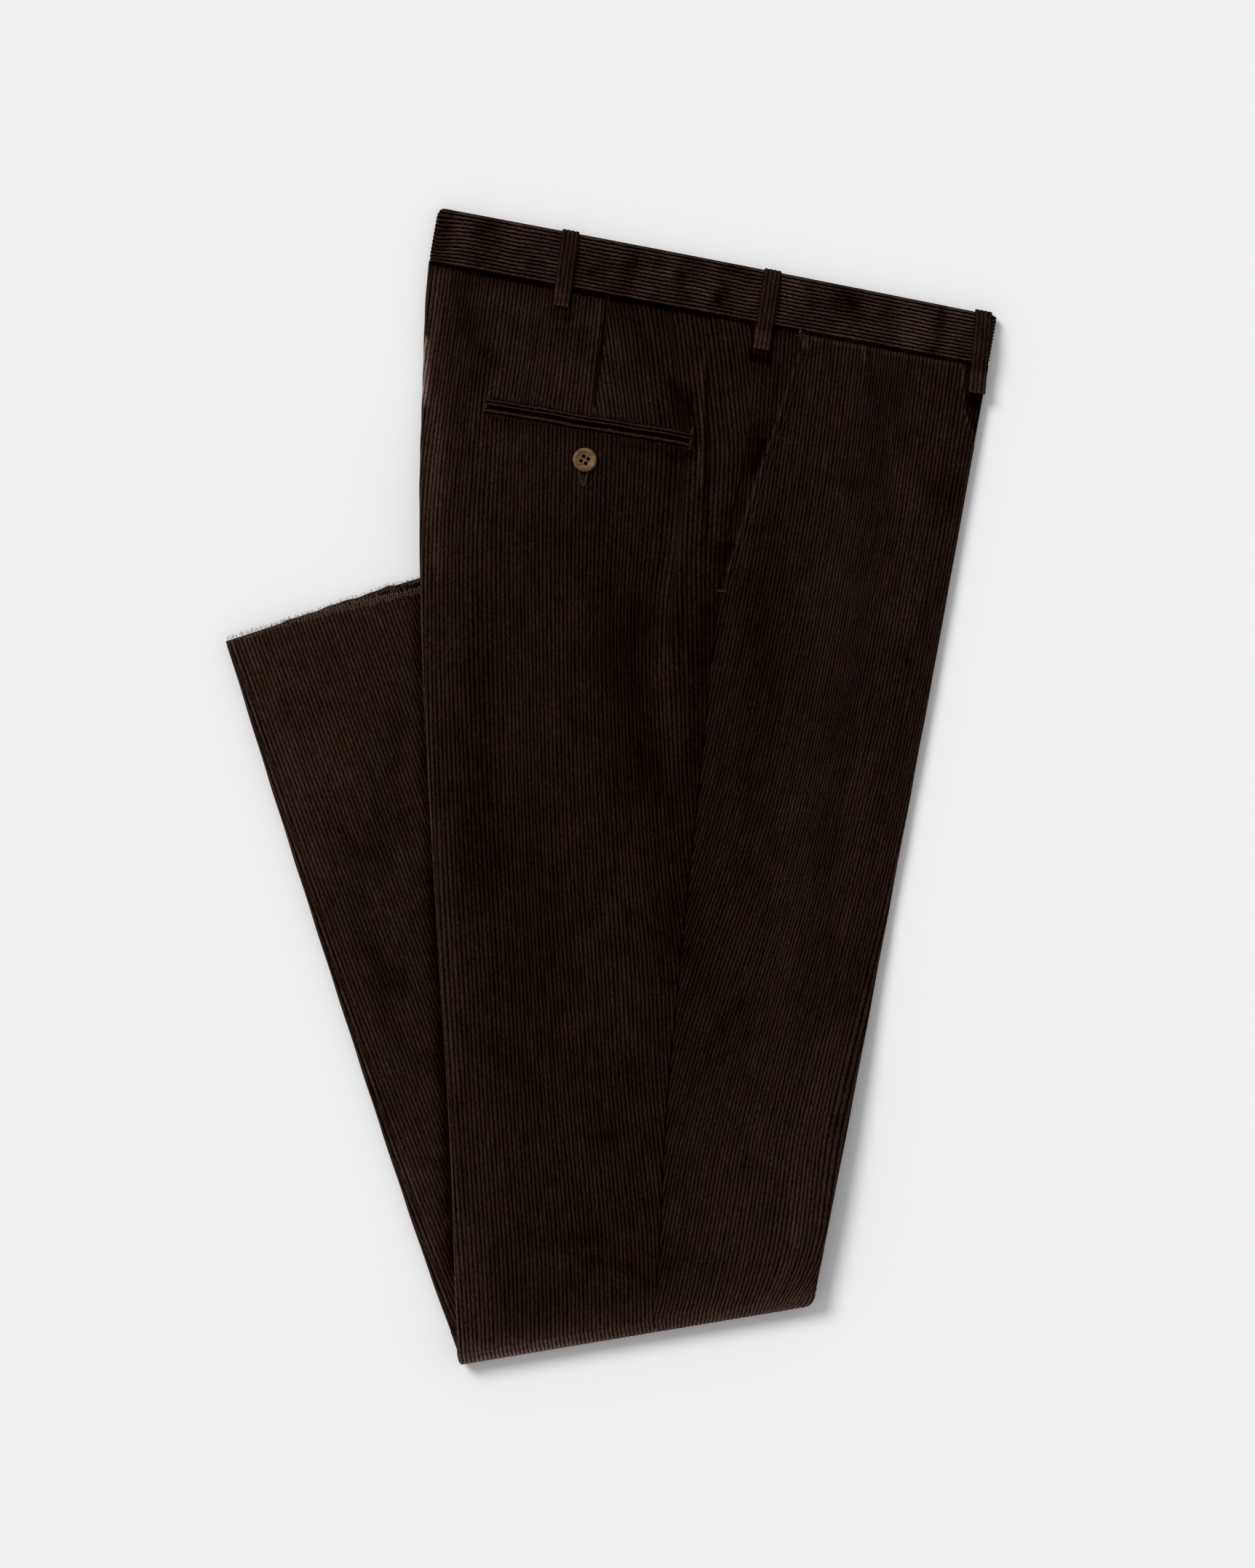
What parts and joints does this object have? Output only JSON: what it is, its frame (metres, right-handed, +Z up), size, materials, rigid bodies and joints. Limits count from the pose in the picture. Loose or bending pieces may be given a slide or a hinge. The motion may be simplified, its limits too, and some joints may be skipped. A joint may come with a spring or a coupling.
{
  "type": "folded corduroy trousers",
  "caption": "Corduroy trousers lying flat, folded lengthwise and then across the knee, with waistband, belt loops, slash pocket, buttoned back pocket and unhemmed legs.",
  "frame": {"origin": "centre of the part's outline, on the surface it lies on", "axes": "+X across the legs, towards the front crease; +Y from the knee fold to the waistband; +Z up"},
  "size_m": [0.4825, 0.7218, 0.0199],
  "materials": {
    "corduroy": "ten-wale cotton corduroy with a soft pile",
    "button": "horn-coloured, satin"
  },
  "bodies": {
    "root": {"right_back": "corduroy", "right_front": "corduroy", "side_pocket_facing": "corduroy", "fly": "corduroy", "left_back": "corduroy", "left_front": "corduroy", "hidden_layers": "corduroy", "waistband": "corduroy", "belt_loop_back": "corduroy", "belt_loop_side": "corduroy", "belt_loop_front": "corduroy", "pocket_welt_upper": "corduroy", "pocket_welt_lower": "corduroy", "pocket_button": "button"}
  },
  "joints": []
}
